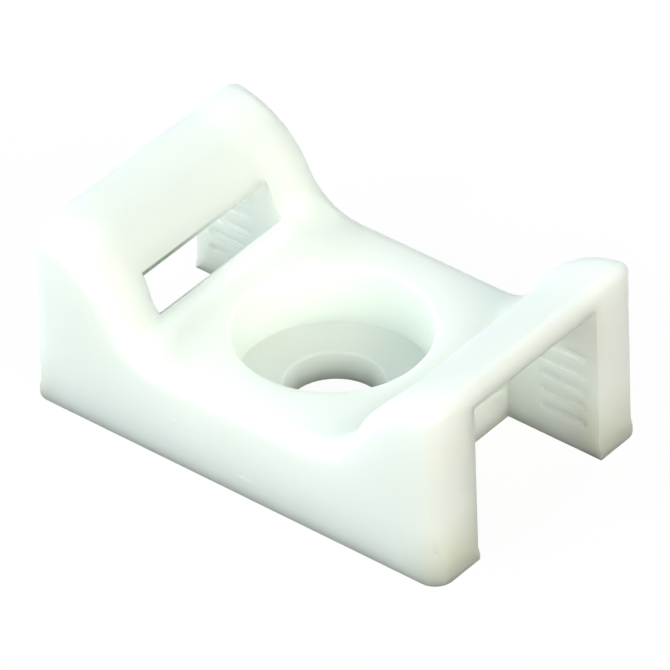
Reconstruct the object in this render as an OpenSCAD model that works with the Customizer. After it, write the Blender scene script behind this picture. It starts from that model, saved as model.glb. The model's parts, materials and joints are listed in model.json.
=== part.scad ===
// Cable tie mount: a low saddle of moulded nylon, held down by one pan-head screw in a recess.
// +X runs along the mount from wall to wall, +Y across it, +Z up; the origin is the middle of the
// mounting face. The bundle lies along Y in the saddle. The tie lies along X: it comes up through
// one end wall, crosses the floor above the screw head and goes down through the other end wall.

/* [Body] */
// Length over the feet of both end walls
body_length = 22; // [20.5:0.5:24]
// Width across the saddle
body_width = 13.7; // [12.8:0.1:15]
// Height of the end walls
wall_height = 8.85; // [8.2:0.05:9.6]
// Height of the saddle floor
floor_height = 4.4; // [4:0.1:4.8]
// Radius of the long top edges and of the upright corners
edge_radius = 0.9; // [0.6:0.05:1]

/* [End walls] */
// Radius of the rounded wall in the middle of the mount, where the bundle bears
crest_radius = 4.6; // [4.4:0.1:4.8]
// Radius of the rounded wall towards the sides
side_crest_radius = 5; // [4.6:0.1:5.2]
// Radius between the crest and the outer face
crest_corner_radius = 0.55; // [0.3:0.05:0.9]
// Fillet between floor and wall in the middle, where the tie bends
slot_fillet_radius = 1.6; // [1:0.1:2]
// Fillet between floor and wall towards the sides
side_fillet_radius = 2.8; // [2:0.1:3]
// Draft of the outer face, over its height
outer_draft = 0.1; // [0:0.01:0.2]

/* [Foot] */
// How far the foot of an end wall stands out
foot_flare = 0.1; // [0:0.01:0.2]
// Height of the straight rim of the foot
foot_rim = 0.25; // [0.1:0.05:0.4]
// Height at which the flare has run out
foot_height = 0.6; // [0.5:0.05:1]

/* [Tie channels] */
// Width of each channel, for a tie up to 7.6 wide
channel_width = 8.2; // [7.6:0.1:9]
// Distance from the middle of the mount to the inner end of each channel
channel_start = 6.05; // [5.8:0.05:6.2]
// Thickness of the bridge over each channel
bridge_thickness = 1.1; // [0.9:0.05:1.4]
// Height of the lip's underside, where the channel opens into the saddle
lip_height = 6.4; // [6.2:0.05:6.5]
// Distance from the middle of the mount to the lip's edge face
lip_start = 6.9; // [6.7:0.05:7]

/* [Grip grooves] */
// Number of grooves in each side wall of a channel
groove_count = 5; // [3:1:5]
// Length of a groove
groove_length = 2.45; // [1.5:0.05:3]
// Height of a groove
groove_height = 0.38; // [0.3:0.02:0.5]
// Depth of a groove
groove_depth = 0.12; // [0.05:0.01:0.3]
// Distance from one groove to the next
groove_pitch = 0.85; // [0.7:0.05:0.9]
// Height of the lowest groove's bottom edge
groove_start = 1.3; // [1:0.1:1.5]
// Distance from the end of the mount to the middle of the grooves
groove_inset = 2; // [1.8:0.05:2.2]

/* [Screw seat] */
// Diameter of the screw hole, clearance for an M4 or number 8 screw
hole_diameter = 4.3; // [4:0.1:5]
// Diameter of the recess for the screw head
recess_diameter = 8.6; // [8:0.1:9]
// Thickness of the floor under the screw head
seat_thickness = 1.45; // [1.2:0.05:2]
// Rounding of the recess's top edge and of the hole's top edge
seat_edge_radius = 0.15; // [0.1:0.01:0.3]

/* [Hidden] */

NYLON = [0.93, 0.96, 0.92];
FACETS = 64;          // of each round hole
GROOVE_FACETS = 24;   // of a groove's round ends
OVER = 1;             // how far a cutter runs past the surface that it opens
LEAST_CORNER = 0.12;  // the crest's corner never gets sharper than this
BLEND_LEAD = 0.2;     // how far inside the channel's side wall the blend starts

CORNER_STEPS = 6;   // points along each arc of the side profile
CREST_STEPS = 12;
FILLET_STEPS = 9;
BLEND_STEPS = 5;    // sections from the middle's profile to the sides'
ROUND_STEPS = 6;    // sections around a long edge

half_length = body_length / 2;
half_width = body_width / 2;
face_x = half_length - foot_flare;                 // outer face, above the foot's flare
crest_x = face_x;                                  // centre of the crest's arc, for all sections
corner_reach = outer_draft + crest_corner_radius;  // from there in to the corner's centre
fan_x = 7;                                         // a point on the mounting face, under the wall
round_start = half_width - edge_radius;            // where the long edges start to turn
blend_start = channel_width / 2 - BLEND_LEAD;      // where the middle's profile ends
recess_radius = recess_diameter / 2;
hole_radius = hole_diameter / 2;

// The points of an arc, from angle a to angle b
function arc(centre, r, a, b, steps) =
    [for (i = [0:steps]) centre + r * [cos(a + (b - a) * i / steps), sin(a + (b - a) * i / steps)]];

// Height of the centre of a crest arc of radius r, so that the wall's top is at its full height
function crest_z(r) =
    wall_height - crest_corner_radius
    - sqrt(pow(r - crest_corner_radius, 2) - pow(corner_reach, 2));

// Half of the side profile, from a point on the mounting face under the wall, out to the foot's
// corner, up over the wall's crest of radius r and down its fillet to the floor. Inset moves the
// outline inwards, apart from the mounting face. From its first point the whole half can be seen,
// so its side is a fan there.
function half_profile(inset, r, fillet) =
    let (
        centre = [crest_x, crest_z(r)],
        corner_r = max(crest_corner_radius - inset, LEAST_CORNER),
        corner_x = face_x - outer_draft - inset - corner_r,
        corner_z = centre.y + sqrt(pow(r - inset - corner_r, 2) - pow(corner_x - crest_x, 2)),
        turn = atan2(corner_z - centre.y, corner_x - centre.x),
        fillet_z = floor_height + fillet,
        fillet_x = crest_x - sqrt(pow(r + fillet, 2) - pow(fillet_z - centre.y, 2)),
        meet = atan2(centre.y - fillet_z, centre.x - fillet_x),
        crest = arc(centre, r - inset, turn, 180 + meet, CREST_STEPS)
    )
    concat(
        [[fan_x, 0],
         [half_length - inset, 0],
         [half_length - inset, foot_rim],
         [face_x - inset, foot_height]],
        arc([corner_x, corner_z], corner_r, 0, 90, CORNER_STEPS),
        crest,
        arc([fillet_x, fillet_z], fillet + inset, meet, -90, FILLET_STEPS)
    );

// The whole side profile, the near half and its mirror image
function profile(inset, r, fillet) =
    let (half = half_profile(inset, r, fillet), last = len(half) - 1)
    concat(half, [for (i = [last:-1:0]) [-half[i].x, half[i].y]]);

// One section of the body: [y, inset, blend], blend 0 for the middle's profile, 1 for the sides'
blend_sections = [for (i = [0:BLEND_STEPS])
    let (t = i / BLEND_STEPS)
    [blend_start + (round_start - blend_start) * t, 0, t * t * (3 - 2 * t)]];
round_sections = [for (i = [1:ROUND_STEPS])
    let (turn = 90 * i / ROUND_STEPS)
    [round_start + edge_radius * sin(turn), edge_radius * (1 - cos(turn)), 1]];
far_sections = concat(blend_sections, round_sections);
near_sections = [for (i = [len(far_sections) - 1:-1:0])
    [-far_sections[i][0], far_sections[i][1], far_sections[i][2]]];
sections = concat(near_sections, far_sections);

function section_points(s) =
    [for (p = profile(s[1],
                      crest_radius + (side_crest_radius - crest_radius) * s[2],
                      slot_fillet_radius + (side_fillet_radius - slot_fillet_radius) * s[2]))
        [p.x, s[0], p.y]];

// The saddle as one lofted shell, without its openings
module saddle() {
    rings = [for (s = sections) section_points(s)];
    n = len(rings[0]);
    last = len(rings) - 1;
    skin = [for (k = [0:last - 1], i = [0:n - 1])
        let (a = k * n + i, b = k * n + (i + 1) % n)
        each [[a, b, a + n], [b, b + n, a + n]]];
    half = n / 2;
    right_fan = [for (i = [1:half - 1]) [0, i + 1, i]];
    left_fan = [for (i = [half:n - 3]) [n - 1, i + 1, i]];
    near_cap = concat(right_fan, [[0, n - 1, half]], left_fan);
    far_cap = [for (f = near_cap) [for (i = [2, 1, 0]) last * n + f[i]]];
    polyhedron(points = [for (ring = rings) each ring],
               faces = concat(skin, near_cap, far_cap),
               convexity = 6);
}

// The channel that a tie runs through under the +X end wall: open at the foot, at the outer face
// and, between floor and lip, into the saddle
module tie_channel() {
    centre = [crest_x, crest_z(crest_radius)];
    roof_r = crest_radius - bridge_thickness;
    roof_end = 180 - asin((lip_height - centre.y) / roof_r);
    outline = concat(
        [[lip_start, lip_height],
         [lip_start, lip_height + OVER],
         [channel_start, lip_height + OVER],
         [channel_start, -OVER],
         [half_length + OVER, -OVER],
         [half_length + OVER, centre.y + roof_r]],
        arc(centre, roof_r, 90, roof_end, CREST_STEPS));
    translate([0, channel_width / 2, 0])
        rotate([90, 0, 0])
            linear_extrude(channel_width)
                polygon(outline);
}

// The round-ended grooves in both side walls of the +X channel
module grip_grooves() {
    end_r = groove_height / 2;
    straight = groove_length - groove_height;
    for (i = [0:groove_count - 1]) {
        translate([half_length - groove_inset, 0, groove_start + end_r + i * groove_pitch])
            rotate([90, 0, 0])
                linear_extrude(channel_width + 2 * groove_depth, center = true)
                    union() {
                        square([straight, groove_height], center = true);
                        translate([straight / 2, 0]) circle(end_r, $fn = GROOVE_FACETS);
                        translate([-straight / 2, 0]) circle(end_r, $fn = GROOVE_FACETS);
                    }
    }
}

// The space above a round hole's rounded mouth: a ring with a hollow underside
module rounded_mouth(r, top) {
    e = seat_edge_radius;
    rotate_extrude($fn = FACETS)
        polygon(concat([[r - OVER / 2, top - e]],
                       arc([r + e, top - e], e, 180, 90, CORNER_STEPS),
                       [[r + e, top + OVER], [r - OVER / 2, top + OVER]]));
}

// The screw hole and the flat-bottomed recess that hides the screw's head
module screw_seat() {
    translate([0, 0, -OVER])
        cylinder(h = seat_thickness + 2 * OVER, r = hole_radius, $fn = FACETS);
    translate([0, 0, seat_thickness])
        cylinder(h = floor_height - seat_thickness + OVER, r = recess_radius, $fn = FACETS);
    rounded_mouth(recess_radius, floor_height);
    rounded_mouth(hole_radius, seat_thickness);
}

module mount_body() {
    color(NYLON)
        difference() {
            saddle();
            for (end = [0, 180])
                rotate([0, 0, end]) {
                    tie_channel();
                    grip_grooves();
                }
            screw_seat();
        }
}

mount_body();
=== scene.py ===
"""The looks of a moulded nylon cable tie mount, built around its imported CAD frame."""
import json
import math

import bmesh
import bpy
import numpy as np
from mathutils import Matrix, Vector


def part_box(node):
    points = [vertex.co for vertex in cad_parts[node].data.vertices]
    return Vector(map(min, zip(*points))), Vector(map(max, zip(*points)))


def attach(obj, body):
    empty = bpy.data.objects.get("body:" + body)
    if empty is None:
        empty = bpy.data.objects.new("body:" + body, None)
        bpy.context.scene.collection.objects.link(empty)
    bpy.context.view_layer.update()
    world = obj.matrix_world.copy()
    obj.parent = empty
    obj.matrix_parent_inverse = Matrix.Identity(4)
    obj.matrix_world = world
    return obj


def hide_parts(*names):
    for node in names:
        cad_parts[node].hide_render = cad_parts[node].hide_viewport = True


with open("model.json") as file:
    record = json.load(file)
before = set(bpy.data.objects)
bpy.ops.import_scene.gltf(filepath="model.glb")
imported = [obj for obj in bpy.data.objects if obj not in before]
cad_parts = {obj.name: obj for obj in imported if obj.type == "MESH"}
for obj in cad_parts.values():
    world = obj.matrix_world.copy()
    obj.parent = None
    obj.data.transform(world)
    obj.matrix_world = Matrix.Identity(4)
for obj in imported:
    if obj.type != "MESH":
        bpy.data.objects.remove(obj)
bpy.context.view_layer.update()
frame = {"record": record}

MM = 0.001  # the shapes below are worked out in millimetres

NODE = "mount_body"
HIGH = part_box(NODE)[1]
MOUNTS = {m["name"]: m for m in frame["record"]["mounts"]}

# The body's sizes that the frame gives
HALF_LENGTH = HIGH.x / MM
HALF_WIDTH = HIGH.y / MM
WALL_HEIGHT = HIGH.z / MM
HOLE_RADIUS = MOUNTS["screw_hole"]["dims"]["r_mm"]
RECESS_RADIUS = MOUNTS["head_recess"]["dims"]["r_mm"]

# The same form as the CAD source has
FLOOR_HEIGHT = 4.4
EDGE_RADIUS = 0.9
CREST_RADIUS, SIDE_CREST_RADIUS = 4.6, 5.0
CREST_CORNER_RADIUS = 0.55
LEAST_CORNER = 0.12
SLOT_FILLET_RADIUS, SIDE_FILLET_RADIUS = 1.6, 2.8
OUTER_DRAFT = 0.1
FOOT_FLARE, FOOT_RIM, FOOT_HEIGHT = 0.1, 0.25, 0.6
CHANNEL_HALF = 4.1
CHANNEL_START = 6.05
SILL_HEIGHT = 4.85  # where the channel's inner end meets the fillet
BRIDGE_THICKNESS = 1.1
LIP_HEIGHT = 6.4
LIP_START = 6.9
BLEND_LEAD = 0.2
SEAT_THICKNESS = 1.45
SEAT_EDGE_RADIUS = 0.15
SEAT_FOOT_RADIUS = 0.08
GROOVE_COUNT, GROOVE_PITCH, GROOVE_START, GROOVE_INSET = 5, 0.85, 1.3, 2.0
GROOVE_LENGTH, GROOVE_HEIGHT, GROOVE_DEPTH = 2.45, 0.38, 0.2

# How finely the surfaces are divided
FLOOR_ROWS, FILLET_ROWS, WALL_ROWS, CREST_ROWS, CORNER_ROWS = 8, 12, 10, 26, 8
BRIDGE_ROWS, FACE_ROWS, FLARE_ROWS, RIM_ROWS = 2, 3, 1, 1
MIDDLE_COLUMNS, BLEND_COLUMNS, ROUND_COLUMNS = 4, 14, 12
ROOF_ROWS = 12
FILLET_SAMPLES, CREST_SAMPLES, CORNER_SAMPLES, ROOF_SAMPLES = 200, 400, 40, 60
SEAT_FACETS = 160
MOUTH_ROWS, SEAT_FOOT_ROWS = 8, 10
GROOVE_END_POINTS = 8
ALMOST_HALF = 0.499  # of a groove's height: its ends' radius, so that no point of them doubles
MARK_SEGMENTS, MARK_RINGS = 24, 12
LEAST_COLUMN = 0.04  # columns nearer than this to the channel's side wall are left out

SOFTENED_EDGE = 0.045
SOFTENED_ROWS = 2
SHARP_ANGLE = math.radians(32)
CUTTER_WELD, BODY_WELD = 1e-7, 2e-7  # in metres, as the meshes are
OVER = 1.0         # how far a cutter runs past the surface that it opens
SAME = 1e-6        # lengths that differ by less are the same

FACE_X = HALF_LENGTH - FOOT_FLARE
CORNER_REACH = OUTER_DRAFT + CREST_CORNER_RADIUS
ROUND_START = HALF_WIDTH - EDGE_RADIUS
BLEND_START = CHANNEL_HALF - BLEND_LEAD


# ---------------------------------------------------------------- the body's form

def arc(cx, cz, r, start, end, count):
    """Points of an arc in the XZ plane, angles in degrees."""
    turn = np.radians(np.linspace(start, end, count + 1))
    return np.stack([cx + r * np.cos(turn), cz + r * np.sin(turn)], 1)


def resample(points, count):
    """The same line with count even steps along its length."""
    steps = np.linalg.norm(np.diff(points, axis=0), axis=1)
    run = np.concatenate([[0], np.cumsum(steps)])
    want = np.linspace(0, run[-1], count + 1)
    return np.stack([np.interp(want, run, points[:, k]) for k in (0, 1)], 1)


def cut_at(points, axis, value):
    """Splits a line where its coordinate first passes value."""
    side = points[:, axis] - value
    i = int(np.argmax((side[:-1] < 0) & (side[1:] >= 0)))
    t = side[i] / (side[i] - side[i + 1])
    p = points[i] + t * (points[i + 1] - points[i])
    return np.vstack([points[:i + 1], p]), np.vstack([p, points[i + 1:]])


def crest_height(r):
    """Height of the centre of a crest arc of radius r."""
    return (WALL_HEIGHT - CREST_CORNER_RADIUS
            - math.sqrt((r - CREST_CORNER_RADIUS) ** 2 - CORNER_REACH ** 2))


def half_profile(inset, r, fillet):
    """Rows from the middle of the floor over the +X wall to its foot, and the number of the row
    at which each part of the profile ends."""
    crest_z = crest_height(r)
    corner_r = max(CREST_CORNER_RADIUS - inset, LEAST_CORNER)
    corner_x = FACE_X - OUTER_DRAFT - inset - corner_r
    corner_z = crest_z + math.sqrt((r - inset - corner_r) ** 2 - (corner_x - FACE_X) ** 2)
    turn = math.degrees(math.atan2(corner_z - crest_z, corner_x - FACE_X))
    fillet_z = FLOOR_HEIGHT + fillet
    fillet_x = FACE_X - math.sqrt((r + fillet) ** 2 - (fillet_z - crest_z) ** 2)
    meet = math.degrees(math.atan2(crest_z - fillet_z, FACE_X - fillet_x))
    inner = np.vstack([
        arc(fillet_x, fillet_z, fillet + inset, -90, meet, FILLET_SAMPLES),
        arc(FACE_X, crest_z, r - inset, 180 + meet, turn, CREST_SAMPLES)])
    low, rest = cut_at(inner, 0, CHANNEL_START)
    window, crest = cut_at(rest, 0, LIP_START)
    outer_top = FACE_X - inset - OUTER_DRAFT
    bridge_z = crest_height(CREST_RADIUS) + CREST_RADIUS - BRIDGE_THICKNESS
    bridge_z = min(bridge_z, corner_z - LEAST_CORNER)  # the rounded sides end lower than the bridge
    t = (corner_z - bridge_z) / (corner_z - FOOT_HEIGHT)
    bridge = [outer_top + t * OUTER_DRAFT, bridge_z]
    parts = [
        (np.array([[0, FLOOR_HEIGHT - inset], [fillet_x, FLOOR_HEIGHT - inset]]), FLOOR_ROWS),
        (low, FILLET_ROWS),
        (window, WALL_ROWS),
        (crest, CREST_ROWS),
        (arc(corner_x, corner_z, corner_r, turn, 0, CORNER_SAMPLES), CORNER_ROWS),
        (np.array([[outer_top, corner_z], bridge]), BRIDGE_ROWS),
        (np.array([bridge, [FACE_X - inset, FOOT_HEIGHT]]), FACE_ROWS),
        (np.array([[FACE_X - inset, FOOT_HEIGHT], [HALF_LENGTH - inset, FOOT_RIM]]), FLARE_ROWS),
        (np.array([[HALF_LENGTH - inset, FOOT_RIM], [HALF_LENGTH - inset, 0]]), RIM_ROWS)]
    rows, ends = [], []
    for points, count in parts:
        rows.append(resample(points, count)[:-1])
        ends.append(sum(len(r) for r in rows))
    rows.append(parts[-1][0][-1:])
    return np.vstack(rows), ends


def smooth_step(t):
    return t * t * (3 - 2 * t)


def section_plan():
    """Each section as (y, inset, blend): from the middle's profile to the sides'."""
    inside = list(np.linspace(0, BLEND_START, MIDDLE_COLUMNS + 1))
    blend = list(np.linspace(BLEND_START, ROUND_START, BLEND_COLUMNS + 1))
    blend = sorted(set([round(y, 6) for y in blend + [CHANNEL_HALF]]))
    blend = [y for y in blend if y == CHANNEL_HALF or abs(y - CHANNEL_HALF) > LEAST_COLUMN]
    plan = [(y, 0.0, 0.0) for y in inside[:-1]]
    plan += [(y, 0.0, smooth_step((y - BLEND_START) / (ROUND_START - BLEND_START)))
             for y in blend]
    for i in range(1, ROUND_COLUMNS + 1):
        turn = math.radians(90 * i / ROUND_COLUMNS)
        plan.append((ROUND_START + EDGE_RADIUS * math.sin(turn),
                     EDGE_RADIUS * (1 - math.cos(turn)), 1.0))
    return [(-y, i, b) for y, i, b in plan[:0:-1]] + plan


def channel_roof():
    """The channel's curved roof, from the lip to where it runs level to the outer face."""
    roof_r = CREST_RADIUS - BRIDGE_THICKNESS
    crest_z = crest_height(CREST_RADIUS)
    end = 180 - math.degrees(math.asin((LIP_HEIGHT - crest_z) / roof_r))
    roof = arc(FACE_X, crest_z, roof_r, end, 90, ROOF_SAMPLES)
    return resample(roof[roof[:, 0] < FACE_X - CORNER_REACH], ROOF_ROWS)


class Shell:
    """Collects faces by corner positions and welds what meets."""

    def __init__(self):
        self.bm = bmesh.new()
        self.known = {}

    def vert(self, p):
        key = tuple(round(float(c), 5) + 0.0 for c in p)
        if key not in self.known:
            self.known[key] = self.bm.verts.new([c * MM for c in key])
        return self.known[key]

    def face(self, points):
        verts = []
        for p in points:
            v = self.vert(p)
            if not verts or verts[-1] is not v:
                verts.append(v)
        if verts[0] is verts[-1]:
            verts.pop()
        if len(verts) > 2 and self.bm.faces.get(verts) is None:
            self.bm.faces.new(verts)

    def strip(self, a, b):
        """Quads between two lines of points."""
        for i in range(len(a) - 1):
            self.face([a[i], a[i + 1], b[i + 1], b[i]])


def mirrored(y, rows, sign):
    """Points of a profile at y, on the +X or the -X half."""
    return [(sign * x, y, z) for x, z in rows]


def channel_stretch(shell, sign, near, far, marks, roof):
    """One stretch of saddle and channel, between two sections inside the channel's width."""
    low, lip, bridge = marks
    a, b = mirrored(*near, sign), mirrored(*far, sign)
    shell.strip(a[:low + 1], b[:low + 1])
    shell.strip(a[lip:bridge + 1], b[lip:bridge + 1])
    ceiling = []
    for y, rows in (near, far):
        line = np.vstack([rows[lip], [rows[lip][0], LIP_HEIGHT], roof, rows[bridge]])
        ceiling.append(mirrored(y, line, sign))
    shell.strip(*ceiling)
    shell.face([(sign * CHANNEL_START, near[0], 0), (sign * CHANNEL_START, far[0], 0),
                b[low], a[low]])


def channel_side(shell, sign, y, rows, marks, roof):
    """The channel's flat side wall, from its inner end to the outer face."""
    low, lip, bridge = marks
    loop = list(rows[low:lip + 1]) + [(rows[lip][0], LIP_HEIGHT)] + list(roof)
    loop += list(rows[bridge:]) + [(CHANNEL_START, 0)]
    shell.face(mirrored(y, loop, sign))


def underside(shell, sections):
    """The mounting face: an outline that goes round both channels' open feet."""
    outline = []
    for sign in (1, -1):
        ends = [(sign * rows[-1][0], y, 0) for y, rows in sections]
        notch = [(sign * CHANNEL_START, y, 0) for y, rows in sections
                 if abs(y) <= CHANNEL_HALF + SAME]
        edge = [p for p in ends if p[1] <= -CHANNEL_HALF + SAME] + notch
        edge += [p for p in ends if p[1] >= CHANNEL_HALF - SAME]
        outline += edge if sign == 1 else edge[::-1]
    shell.face(outline)


def body_shell():
    """The saddle with its two channels, as one closed shell."""
    shell = Shell()
    sections = []
    for y, inset, blend in section_plan():
        rows, ends = half_profile(
            inset,
            CREST_RADIUS + (SIDE_CREST_RADIUS - CREST_RADIUS) * blend,
            SLOT_FILLET_RADIUS + (SIDE_FILLET_RADIUS - SLOT_FILLET_RADIUS) * blend)
        sections.append((y, rows))
    marks = ends[1], ends[2], ends[5]
    roof = channel_roof()
    for sign in (1, -1):
        for near, far in zip(sections, sections[1:]):
            if max(abs(near[0]), abs(far[0])) > CHANNEL_HALF + SAME:
                shell.strip(mirrored(*near, sign), mirrored(*far, sign))
            else:
                channel_stretch(shell, sign, near, far, marks, roof)
        for y, rows in sections:
            if abs(abs(y) - CHANNEL_HALF) < SAME:
                channel_side(shell, sign, y, rows, marks, roof)
    for y, rows in (sections[0], sections[-1]):
        shell.face(mirrored(y, rows, 1) + mirrored(y, rows[:0:-1], -1))
    underside(shell, sections)
    bm = shell.bm
    bmesh.ops.recalc_face_normals(bm, faces=bm.faces)
    flat = [f for f in bm.faces if len(f.verts) > 4]
    bmesh.ops.triangulate(bm, faces=flat, ngon_method="EAR_CLIP")
    return bm


def link_mesh(bm, name):
    mesh = bpy.data.meshes.new(name)
    bm.to_mesh(mesh)
    bm.free()
    piece = bpy.data.objects.new(name, mesh)
    bpy.context.scene.collection.objects.link(piece)
    return piece


def bake_modifiers(piece):
    """Makes the piece's modifiers a plain mesh and removes them."""
    graph = bpy.context.evaluated_depsgraph_get()
    mesh = bpy.data.meshes.new_from_object(piece.evaluated_get(graph))
    piece.modifiers.clear()
    old = piece.data
    piece.data = mesh
    mesh.name = piece.name
    bpy.data.meshes.remove(old)
    return piece


def seat_cutter():
    """The screw's hole and head recess, with softened mouths, as one turned cutter."""
    e, foot = SEAT_EDGE_RADIUS, SEAT_FOOT_RADIUS
    line = np.vstack([
        [[0, -OVER], [HOLE_RADIUS, -OVER], [HOLE_RADIUS, -OVER / 2]],
        arc(HOLE_RADIUS + e, SEAT_THICKNESS - e, e, 180, 90, MOUTH_ROWS),
        arc(RECESS_RADIUS - foot, SEAT_THICKNESS + foot, foot, -90, 0, SEAT_FOOT_ROWS),
        arc(RECESS_RADIUS + e, FLOOR_HEIGHT - e, e, 180, 90, MOUTH_ROWS),
        [[RECESS_RADIUS + e, FLOOR_HEIGHT + OVER], [0, FLOOR_HEIGHT + OVER]]])
    bm = bmesh.new()
    rings = []
    for k in range(SEAT_FACETS):
        a = 2 * math.pi * k / SEAT_FACETS
        rings.append([bm.verts.new((r * math.cos(a) * MM, r * math.sin(a) * MM, z * MM))
                      for r, z in line])
    for a, b in zip(rings, rings[1:] + rings[:1]):
        for i in range(len(line) - 1):
            bm.faces.new([a[i], b[i], b[i + 1], a[i + 1]])
    bmesh.ops.remove_doubles(bm, verts=bm.verts, dist=CUTTER_WELD)
    bmesh.ops.recalc_face_normals(bm, faces=bm.faces)
    return link_mesh(bm, "seat_cutter")


def groove_tree():
    """A node tree that makes a column of round-ended bars, one for each grip groove."""
    tree = bpy.data.node_groups.new("grip_grooves", "GeometryNodeTree")
    panel = tree.interface
    panel.new_socket("Geometry", in_out="INPUT", socket_type="NodeSocketGeometry")
    panel.new_socket("Geometry", in_out="OUTPUT", socket_type="NodeSocketGeometry")
    ids = {}
    for name, kind in (("Count", "Int"), ("Pitch", "Float"), ("Length", "Float"),
                       ("Height", "Float"), ("Reach", "Float"), ("Middle X", "Float"),
                       ("First Z", "Float"), ("Material", "Material")):
        s = panel.new_socket(name, in_out="INPUT", socket_type="NodeSocket" + kind)
        ids[name] = s.identifier
    nodes, links = tree.nodes, tree.links

    def add(kind, **settings):
        n = nodes.new(kind)
        for key, value in settings.items():
            setattr(n, key, value)
        return n

    def times(socket, factor):
        m = add("ShaderNodeMath", operation="MULTIPLY")
        links.new(socket, m.inputs[0])
        m.inputs[1].default_value = factor
        return m.outputs[0]

    def vector(x=None, y=None, z=None):
        c = add("ShaderNodeCombineXYZ")
        for socket, value in zip(c.inputs, (x, y, z)):
            if value is not None:
                links.new(value, socket)
        return c.outputs[0]

    g = add("NodeGroupInput").outputs
    outline = add("GeometryNodeCurvePrimitiveQuadrilateral", mode="RECTANGLE")
    links.new(g["Length"], outline.inputs["Width"])
    links.new(g["Height"], outline.inputs["Height"])
    ends = add("GeometryNodeFilletCurve", mode="POLY")
    links.new(outline.outputs["Curve"], ends.inputs["Curve"])
    ends.inputs["Count"].default_value = GROOVE_END_POINTS
    links.new(times(g["Height"], ALMOST_HALF), ends.inputs["Radius"])
    line = add("GeometryNodeCurvePrimitiveLine", mode="POINTS")
    links.new(vector(y=times(g["Reach"], -1.0)), line.inputs["Start"])
    links.new(vector(y=g["Reach"]), line.inputs["End"])
    bar = add("GeometryNodeCurveToMesh")
    links.new(line.outputs["Curve"], bar.inputs["Curve"])
    links.new(ends.outputs["Curve"], bar.inputs["Profile Curve"])
    bar.inputs["Fill Caps"].default_value = True
    column = add("GeometryNodeMeshLine", mode="OFFSET")
    links.new(g["Count"], column.inputs["Count"])
    links.new(vector(x=g["Middle X"], z=g["First Z"]), column.inputs["Start Location"])
    links.new(vector(z=g["Pitch"]), column.inputs["Offset"])
    put = add("GeometryNodeInstanceOnPoints")
    links.new(column.outputs["Mesh"], put.inputs["Points"])
    links.new(bar.outputs["Mesh"], put.inputs["Instance"])
    real = add("GeometryNodeRealizeInstances")
    links.new(put.outputs["Instances"], real.inputs["Geometry"])
    paint = add("GeometryNodeSetMaterial")
    links.new(real.outputs["Geometry"], paint.inputs["Geometry"])
    links.new(g["Material"], paint.inputs["Material"])
    out = add("NodeGroupOutput")
    links.new(paint.outputs["Geometry"], out.inputs["Geometry"])
    return tree, ids


def groove_cutter(tree, ids, sign, material):
    """The bars that cut the grooves into both side walls of one channel."""
    piece = link_mesh(bmesh.new(), "groove_cutter")
    settings = {
        "Count": GROOVE_COUNT, "Pitch": GROOVE_PITCH * MM, "Length": GROOVE_LENGTH * MM,
        "Height": GROOVE_HEIGHT * MM, "Reach": (CHANNEL_HALF + GROOVE_DEPTH) * MM,
        "Middle X": sign * (HALF_LENGTH - GROOVE_INSET) * MM,
        "First Z": (GROOVE_START + GROOVE_HEIGHT / 2) * MM, "Material": material}
    rule = piece.modifiers.new("grooves", "NODES")
    rule.node_group = tree
    for name, value in settings.items():
        rule[ids[name]] = value
    bake_modifiers(piece)
    bm = bmesh.new()
    bm.from_mesh(piece.data)
    bmesh.ops.remove_doubles(bm, verts=bm.verts, dist=CUTTER_WELD)
    bmesh.ops.recalc_face_normals(bm, faces=bm.faces)
    bm.to_mesh(piece.data)
    bm.free()
    return piece


def cut(piece, cutter):
    """Takes the cutter's shape out of the piece."""
    m = piece.modifiers.new("cut", "BOOLEAN")
    m.operation = "DIFFERENCE"
    m.solver = "MANIFOLD"
    m.object = cutter
    bake_modifiers(piece)
    bpy.data.objects.remove(cutter)


# Small marks of moulding and handling on the side faces: place, and half of each extent, in mm
MARKS = (
    ((0.7, -HALF_WIDTH, 0.98), (0.48, 0.07, 0.045)),
    ((0.35, -HALF_WIDTH, 1.18), (0.16, 0.05, 0.03)),
    ((-3.15, -HALF_WIDTH, 2.25), (0.2, 0.05, 0.035)),
    ((0.4, -HALF_WIDTH, 2.75), (0.17, 0.04, 0.03)),
    ((10.76, -6.7, 1.6), (0.21, 0.21, 0.21)))


def mark_cutter():
    """The marks as flat lenses and one ball, which only just reach into the surface."""
    bm = bmesh.new()
    for place, extent in MARKS:
        ball = bmesh.ops.create_uvsphere(
            bm, u_segments=MARK_SEGMENTS, v_segments=MARK_RINGS, radius=1.0)
        for v in ball["verts"]:
            v.co = Vector([(p + c * r) * MM for p, c, r in zip(place, v.co, extent)])
    return link_mesh(bm, "mark_cutter")


def nylon_body(material):
    """The one moulded piece."""
    piece = link_mesh(body_shell(), "moulded_body")
    piece.data.materials.append(material)
    soften = piece.modifiers.new("soften", "BEVEL")
    soften.width = SOFTENED_EDGE * MM
    soften.segments = SOFTENED_ROWS
    soften.limit_method = "ANGLE"
    soften.angle_limit = SHARP_ANGLE
    soften.miter_outer = "MITER_ARC"
    bake_modifiers(piece)
    cut(piece, seat_cutter())
    tree, ids = groove_tree()
    for sign in (1, -1):
        cut(piece, groove_cutter(tree, ids, sign, material))
    cut(piece, mark_cutter())
    bm = bmesh.new()
    bm.from_mesh(piece.data)
    bmesh.ops.remove_doubles(bm, verts=bm.verts, dist=BODY_WELD)
    for f in bm.faces:
        f.smooth = True
    for e in bm.edges:
        if len(e.link_faces) == 2 and e.calc_face_angle(0) > SHARP_ANGLE:
            e.smooth = False
    bm.to_mesh(piece.data)
    bm.free()
    shade = piece.modifiers.new("shade", "WEIGHTED_NORMAL")
    shade.mode = "FACE_AREA"
    shade.keep_sharp = True
    bake_modifiers(piece)
    piece.data.materials.clear()
    piece.data.materials.append(material)
    return piece


# ---------------------------------------------------------------- the material

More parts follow.
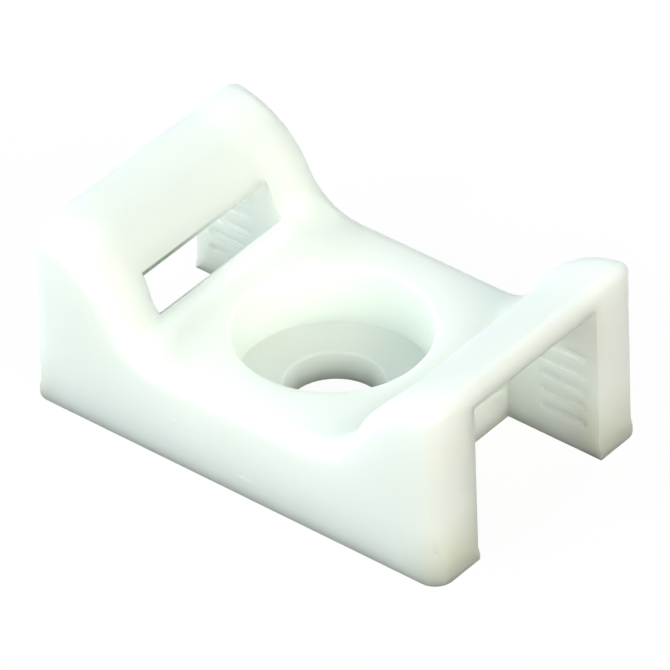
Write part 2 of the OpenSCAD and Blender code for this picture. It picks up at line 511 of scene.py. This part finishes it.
class Value:
    """A socket that can be used in sums, so that shader maths reads as maths."""

    def __init__(self, tree, socket):
        self.tree, self.socket = tree, socket

    def _math(self, operation, a, b):
        n = self.tree.nodes.new("ShaderNodeMath")
        n.operation = operation
        for slot, x in zip(n.inputs, (a, b)):
            if isinstance(x, Value):
                self.tree.links.new(x.socket, slot)
            else:
                slot.default_value = x
        return Value(self.tree, n.outputs[0])

    def __add__(self, other):
        return self._math("ADD", self, other)

    def __radd__(self, other):
        return self._math("ADD", other, self)

    def __sub__(self, other):
        return self._math("SUBTRACT", self, other)

    def __rsub__(self, other):
        return self._math("SUBTRACT", other, self)

    def __mul__(self, other):
        return self._math("MULTIPLY", self, other)

    def __rmul__(self, other):
        return self._math("MULTIPLY", other, self)

    def max(self, other):
        return self._math("MAXIMUM", self, other)

    def size(self):
        return self._math("ABSOLUTE", self, 0.0)

    def ramp(self, start, end):
        """0 up to start, 1 from end on, with a smooth change between; either may be the larger."""
        n = self.tree.nodes.new("ShaderNodeMapRange")
        n.interpolation_type = "SMOOTHSTEP"
        self.tree.links.new(self.socket, n.inputs["Value"])
        low, high = min(start, end), max(start, end)
        n.inputs["From Min"].default_value, n.inputs["From Max"].default_value = low, high
        if start > end:
            n.inputs["To Min"].default_value, n.inputs["To Max"].default_value = 1.0, 0.0
        return Value(self.tree, n.outputs["Result"])

    def near(self, middle, reach):
        """1 within half the reach of the middle, fading to 0 at the full reach."""
        return (self - middle).size().ramp(reach, reach / 2)


class Maker:
    """Adds nodes to one material: type, settings, then the sockets' values or links."""

    def __init__(self, name):
        self.material = bpy.data.materials.new(name)
        self.material.use_nodes = True
        self.tree = self.material.node_tree
        self.tree.nodes.clear()

    def node(self, kind, settings=None, out=0, **sockets):
        n = self.tree.nodes.new(kind)
        for key, value in (settings or {}).items():
            setattr(n, key, value)
        for key, value in sockets.items():
            slot = n.inputs[key.replace("_", " ")]
            if isinstance(value, Value):
                self.tree.links.new(value.socket, slot)
            else:
                slot.default_value = value
        return Value(self.tree, n.outputs[out]) if n.outputs else None

    def noise(self, where, scale, detail, roughness=0.5):
        return self.node("ShaderNodeTexNoise", {"noise_dimensions": "3D"},
                         Vector=where, Scale=scale, Detail=detail, Roughness=roughness)

    def parts(self, vector, unit=1.0):
        """The vector's x, y and z, counted in units."""
        n = self.tree.nodes.new("ShaderNodeSeparateXYZ")
        self.tree.links.new(vector.socket, n.inputs[0])
        return [Value(self.tree, out) * (1 / unit) for out in n.outputs]

    def mix_shader(self, factor, a, b):
        n = self.tree.nodes.new("ShaderNodeMixShader")
        for slot, x in zip(n.inputs, (factor, a, b)):
            self.tree.links.new(x.socket, slot)
        return Value(self.tree, n.outputs[0])

    def blend_colour(self, factor, a, b):
        n = self.tree.nodes.new("ShaderNodeMix")
        n.data_type = "RGBA"
        self.tree.links.new(factor.socket, n.inputs[0])
        for slot, x in zip((n.inputs[6], n.inputs[7]), (a, b)):
            if isinstance(x, Value):
                self.tree.links.new(x.socket, slot)
            else:
                slot.default_value = (*x, 1)
        return Value(self.tree, n.outputs[2])


NYLON_COLOUR = (0.885, 0.947, 0.885)
NYLON_CLOUD = (0.86, 0.927, 0.855)
SLOT_PAINTED_SHADE = (0.07, 0.11, 0.08)    # painted shade: the thin dark edges of a slot, where one sees into the channel
FOOT_PAINTED_SHADE = (0.50, 0.52, 0.36)    # olive painted shade low in the legs; the same colour darkens the foot's rim
LEDGE_PAINTED_HIGHLIGHT = (1.0, 1.0, 0.99)    # painted highlight on the grooves' ledges
SCATTER_SHARE = 0.7
SCATTER_DEPTH = 0.007
SCATTER_BALANCE = (1.0, 0.92, 0.8)
GLOSS_ROUGHNESS, GLOSS_CHANGE = 0.3, 0.12
REFRACTION = 1.53

# The noises: scale per metre, detail, roughness where it isn't the usual
CLOUDS = (160.0, 3.0)        # slow changes of tint
FLOW = (520.0, 4.0, 0.6)     # where the melt has flowed
PEEL = (1400.0, 2.0)         # the faint waves of a moulded face
GRAIN = (9000.0, 2.0)        # the mould's finish
CLOUD_SHARE, PEEL_SHARE = 0.6, 0.7
BUMP_STRENGTH, BUMP_HEIGHT = 0.12, 0.00002

# Where the painted shades and highlights lie and how strong they are; lengths in mm
RIM_SPAN = (0.7, 0.0)         # from there down to the mounting face
RIM_LEAST, RIM_CHANGE = 0.15, 0.3
LEG_SPAN = (3.6, 0.2)         # from there down, the legs get darker: painted shade
LEG_LEAST, LEG_CHANGE = 0.5, 0.2
END_SPAN = (8.5, 10.8)        # along X, where the legs are
LIP_LINE = (0.08, 0.16)       # reach along X and up
SILL_LINE = (0.07, 0.12)
SILL_STRENGTH = 0.8
SLOT_SPAN = (CHANNEL_HALF + 0.1, CHANNEL_HALF - 0.05)
SLOT_FADE = (-14.0, 18.0)     # of x times y: the painted shade runs along a slot, from its light end to its dark end
LEDGE_TILT = (0.1, 0.5)       # how far up a face looks, to get a ledge's painted highlight
LEDGE_REACH = GROOVE_LENGTH * 0.6
LEDGE_SPAN = (5.3, 5.1)       # above that, nothing is a ledge


def painted_foot_shade(x, z, clouds):
    """How much olive painted shade the legs get low down, and how much the same colour darkens the
    foot's rim all round.
    """
    rim = z.ramp(*RIM_SPAN) * (RIM_LEAST + RIM_CHANGE * clouds)
    legs = z.ramp(*LEG_SPAN) * x.ramp(*END_SPAN) * (LEG_LEAST + LEG_CHANGE * clouds)
    return rim.max(legs)


def slot_edges_painted_shade(x, y, z):
    """Painted shade on the edges of lip and sill, over the slot's width."""
    lip = x.near(LIP_START, LIP_LINE[0]) * z.near(LIP_HEIGHT + LIP_LINE[1] / 2, LIP_LINE[1])
    sill = x.near(CHANNEL_START, SILL_LINE[0]) * z.near(SILL_HEIGHT, SILL_LINE[1])
    return lip.max(sill * SILL_STRENGTH) * y.ramp(*SLOT_SPAN)


def groove_ledge_highlight(x, y, z, up):
    """Painted highlight on the faces in the grooves that look up."""
    in_wall = y.near(CHANNEL_HALF + GROOVE_DEPTH / 2, GROOVE_DEPTH) * up.ramp(*LEDGE_TILT)
    return in_wall * x.near(HALF_LENGTH - GROOVE_INSET, LEDGE_REACH) * z.ramp(*LEDGE_SPAN)


def nylon():
    """Natural nylon as moulded: milky, slightly translucent, with a soft satin gloss, painted shade
    low in the legs and on the slots' edges, and painted highlights on the grooves' ledges.
    """
    m = Maker("natural_nylon")
    where = m.node("ShaderNodeTexCoord", out=3)
    x, y, z = m.parts(where, MM)
    fade = (x * y).ramp(*SLOT_FADE)
    x, y = x.size(), y.size()
    up = m.parts(m.node("ShaderNodeNewGeometry", out=1))[2]
    clouds, flow, peel, grain = (m.noise(where, *noise) for noise in (CLOUDS, FLOW, PEEL, GRAIN))
    tint = clouds * CLOUD_SHARE + flow * (1 - CLOUD_SHARE)
    colour = m.blend_colour(tint, NYLON_COLOUR, NYLON_CLOUD)
    # painted shade: olive low in the legs, and darker at the foot's rim
    colour = m.blend_colour(painted_foot_shade(x, z, clouds), colour, FOOT_PAINTED_SHADE)
    # painted shade on the slots' edges, fading along each slot
    colour = m.blend_colour(slot_edges_painted_shade(x, y, z) * fade, colour, SLOT_PAINTED_SHADE)
    # painted highlight on the grooves' ledges
    colour = m.blend_colour(groove_ledge_highlight(x, y, z, up), colour, LEDGE_PAINTED_HIGHLIGHT)
    height = peel * PEEL_SHARE + grain * (1 - PEEL_SHARE)
    bump = m.node("ShaderNodeBump", Strength=BUMP_STRENGTH, Distance=BUMP_HEIGHT, Height=height)
    shader = m.node(
        "ShaderNodeBsdfPrincipled", {"subsurface_method": "RANDOM_WALK"},
        Base_Color=colour, Roughness=GLOSS_ROUGHNESS + GLOSS_CHANGE * flow, IOR=REFRACTION,
        Normal=bump, Subsurface_Weight=SCATTER_SHARE, Subsurface_Radius=SCATTER_BALANCE,
        Subsurface_Scale=SCATTER_DEPTH)
    m.node("ShaderNodeOutputMaterial", Surface=shader)
    return m.material


# ---------------------------------------------------------------- stage, light, camera

FLOOR_SIZE = 0.6
FLOOR_GAP = 0.02  # in mm, so that the floor and the mount's underside aren't one surface
FLOOR_COLOUR = (0.9, 0.9, 0.9)      # as it shows
FLOOR_BOUNCE = (0.15, 0.15, 0.14)   # as it lights the mount from below
FLOOR_WHITENESS = 0.94  # how much of the floor shows as plain white; the rest keeps the shadow
SKY_COLOUR = (0.95, 1.0, 0.96)
SKY_LIGHT = 0.03


def shown_rays(tree):
    """1 for rays that show the backdrop: the camera's, and those through gloss or a clear part."""
    path = tree.nodes.new("ShaderNodeLightPath")
    camera_ray, glossy, through = (
        Value(tree, path.outputs[name])
        for name in ("Is Camera Ray", "Is Glossy Ray", "Is Transmission Ray"))
    return camera_ray.max(glossy).max(through)


def pale_floor():
    """A plain floor that shows white and keeps a trace of shadow. From below it is clear, so that
    the mount's underside can be seen."""
    m = Maker("pale_floor")
    shown = shown_rays(m.tree)
    plain = m.node("ShaderNodeBsdfDiffuse",
                   Color=m.blend_colour(shown, FLOOR_BOUNCE, FLOOR_COLOUR))
    white = m.node("ShaderNodeEmission", Color=(1, 1, 1, 1), Strength=1.0)
    mixed = m.mix_shader(shown * FLOOR_WHITENESS, plain, white)
    from_below = m.node("ShaderNodeNewGeometry", out=6)
    mixed = m.mix_shader(from_below, mixed, m.node("ShaderNodeBsdfTransparent"))
    m.node("ShaderNodeOutputMaterial", Surface=mixed)
    bm = bmesh.new()
    bmesh.ops.create_grid(bm, x_segments=1, y_segments=1, size=FLOOR_SIZE / 2,
                          matrix=Matrix.Translation((0, 0, -FLOOR_GAP * MM)))
    floor = link_mesh(bm, "floor")
    floor.data.materials.append(m.material)


def studio_sky():
    """A dim even sky that shows white."""
    world = bpy.data.worlds.new("studio")
    bpy.context.scene.world = world
    world.use_nodes = True
    tree = world.node_tree
    tree.nodes.clear()
    mix, out = tree.nodes.new("ShaderNodeMixShader"), tree.nodes.new("ShaderNodeOutputWorld")
    tree.links.new(shown_rays(tree).socket, mix.inputs[0])
    for slot, colour, strength in ((mix.inputs[1], SKY_COLOUR, SKY_LIGHT),
                                   (mix.inputs[2], (1, 1, 1), 1.0)):
        light = tree.nodes.new("ShaderNodeBackground")
        light.inputs["Color"].default_value = (*colour, 1)
        light.inputs["Strength"].default_value = strength
        tree.links.new(light.outputs[0], slot)
    tree.links.new(mix.outputs[0], out.inputs["Surface"])


def lamp(name, azimuth, elevation, power, colour):
    """A soft square lamp that faces the mount. Azimuth 0 is in front, at -Y."""
    a, e = math.radians(azimuth), math.radians(elevation)
    way = Vector((math.sin(a) * math.cos(e), -math.cos(a) * math.cos(e), math.sin(e)))
    light = bpy.data.lights.new(name, "AREA")
    light.shape, light.size, light.energy, light.color = "SQUARE", LAMP_SIZE, power, colour
    held = bpy.data.objects.new(name, light)
    held.location = way * LAMP_DISTANCE
    held.rotation_euler = way.to_track_quat("Z", "Y").to_euler()
    bpy.context.scene.collection.objects.link(held)


# A ring of soft boxes: name, azimuth, elevation, power, colour
LAMPS = (
    ("near_left_lamp", -53, 17, 0.84, (0.90, 0.99, 1.0)),
    ("near_lamp", -15, 29, 0.74, (0.89, 1.0, 0.985)),
    ("camera_side_lamp", 40, 30, 0.46, (1.0, 0.99, 0.90)),
    ("right_lamp", 85, 35, 1.18, (1.0, 0.945, 0.81)),
    ("left_lamp", -95, 27, 0.68, (0.88, 0.98, 1.0)),
    ("far_lamp", 180, 42, 0.42, (0.78, 0.97, 1.0)))
LAMP_DISTANCE, LAMP_SIZE = 0.4, 0.2

CAMERA_AZIMUTH, CAMERA_ELEVATION, CAMERA_ROLL = 39.776, 37.825, -1.538
CAMERA_DISTANCE = 0.42358
CAMERA_TARGET = (-0.000782, 0.001049, 0.003)
SENSOR, LENS = 36.0, 540.6394  # in mm
CLIP_START, CLIP_END = 0.01, 10.0


def camera():
    """The camera, turned about its own line of sight by the roll."""
    a, e, r = (math.radians(x) for x in (CAMERA_AZIMUTH, CAMERA_ELEVATION, CAMERA_ROLL))
    back = Vector((math.sin(a) * math.cos(e), -math.cos(a) * math.cos(e), math.sin(e)))
    right = Vector((math.cos(a), math.sin(a), 0))
    up = back.cross(right)
    x = math.cos(r) * right + math.sin(r) * up
    y = -math.sin(r) * right + math.cos(r) * up
    eye = bpy.data.cameras.new("camera")
    eye.lens, eye.sensor_width, eye.sensor_fit = LENS, SENSOR, "HORIZONTAL"
    eye.clip_start, eye.clip_end = CLIP_START, CLIP_END
    held = bpy.data.objects.new("camera", eye)
    turn = Matrix((x, y, back)).transposed().to_4x4()
    held.matrix_world = Matrix.Translation(Vector(CAMERA_TARGET) + back * CAMERA_DISTANCE) @ turn
    bpy.context.scene.collection.objects.link(held)
    bpy.context.scene.camera = held


camera()
pale_floor()
studio_sky()
for lamp_settings in LAMPS:
    lamp(*lamp_settings)

body = nylon_body(nylon())
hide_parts(NODE)
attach(body, "root")

bpy.context.scene.view_settings.view_transform = "Standard"
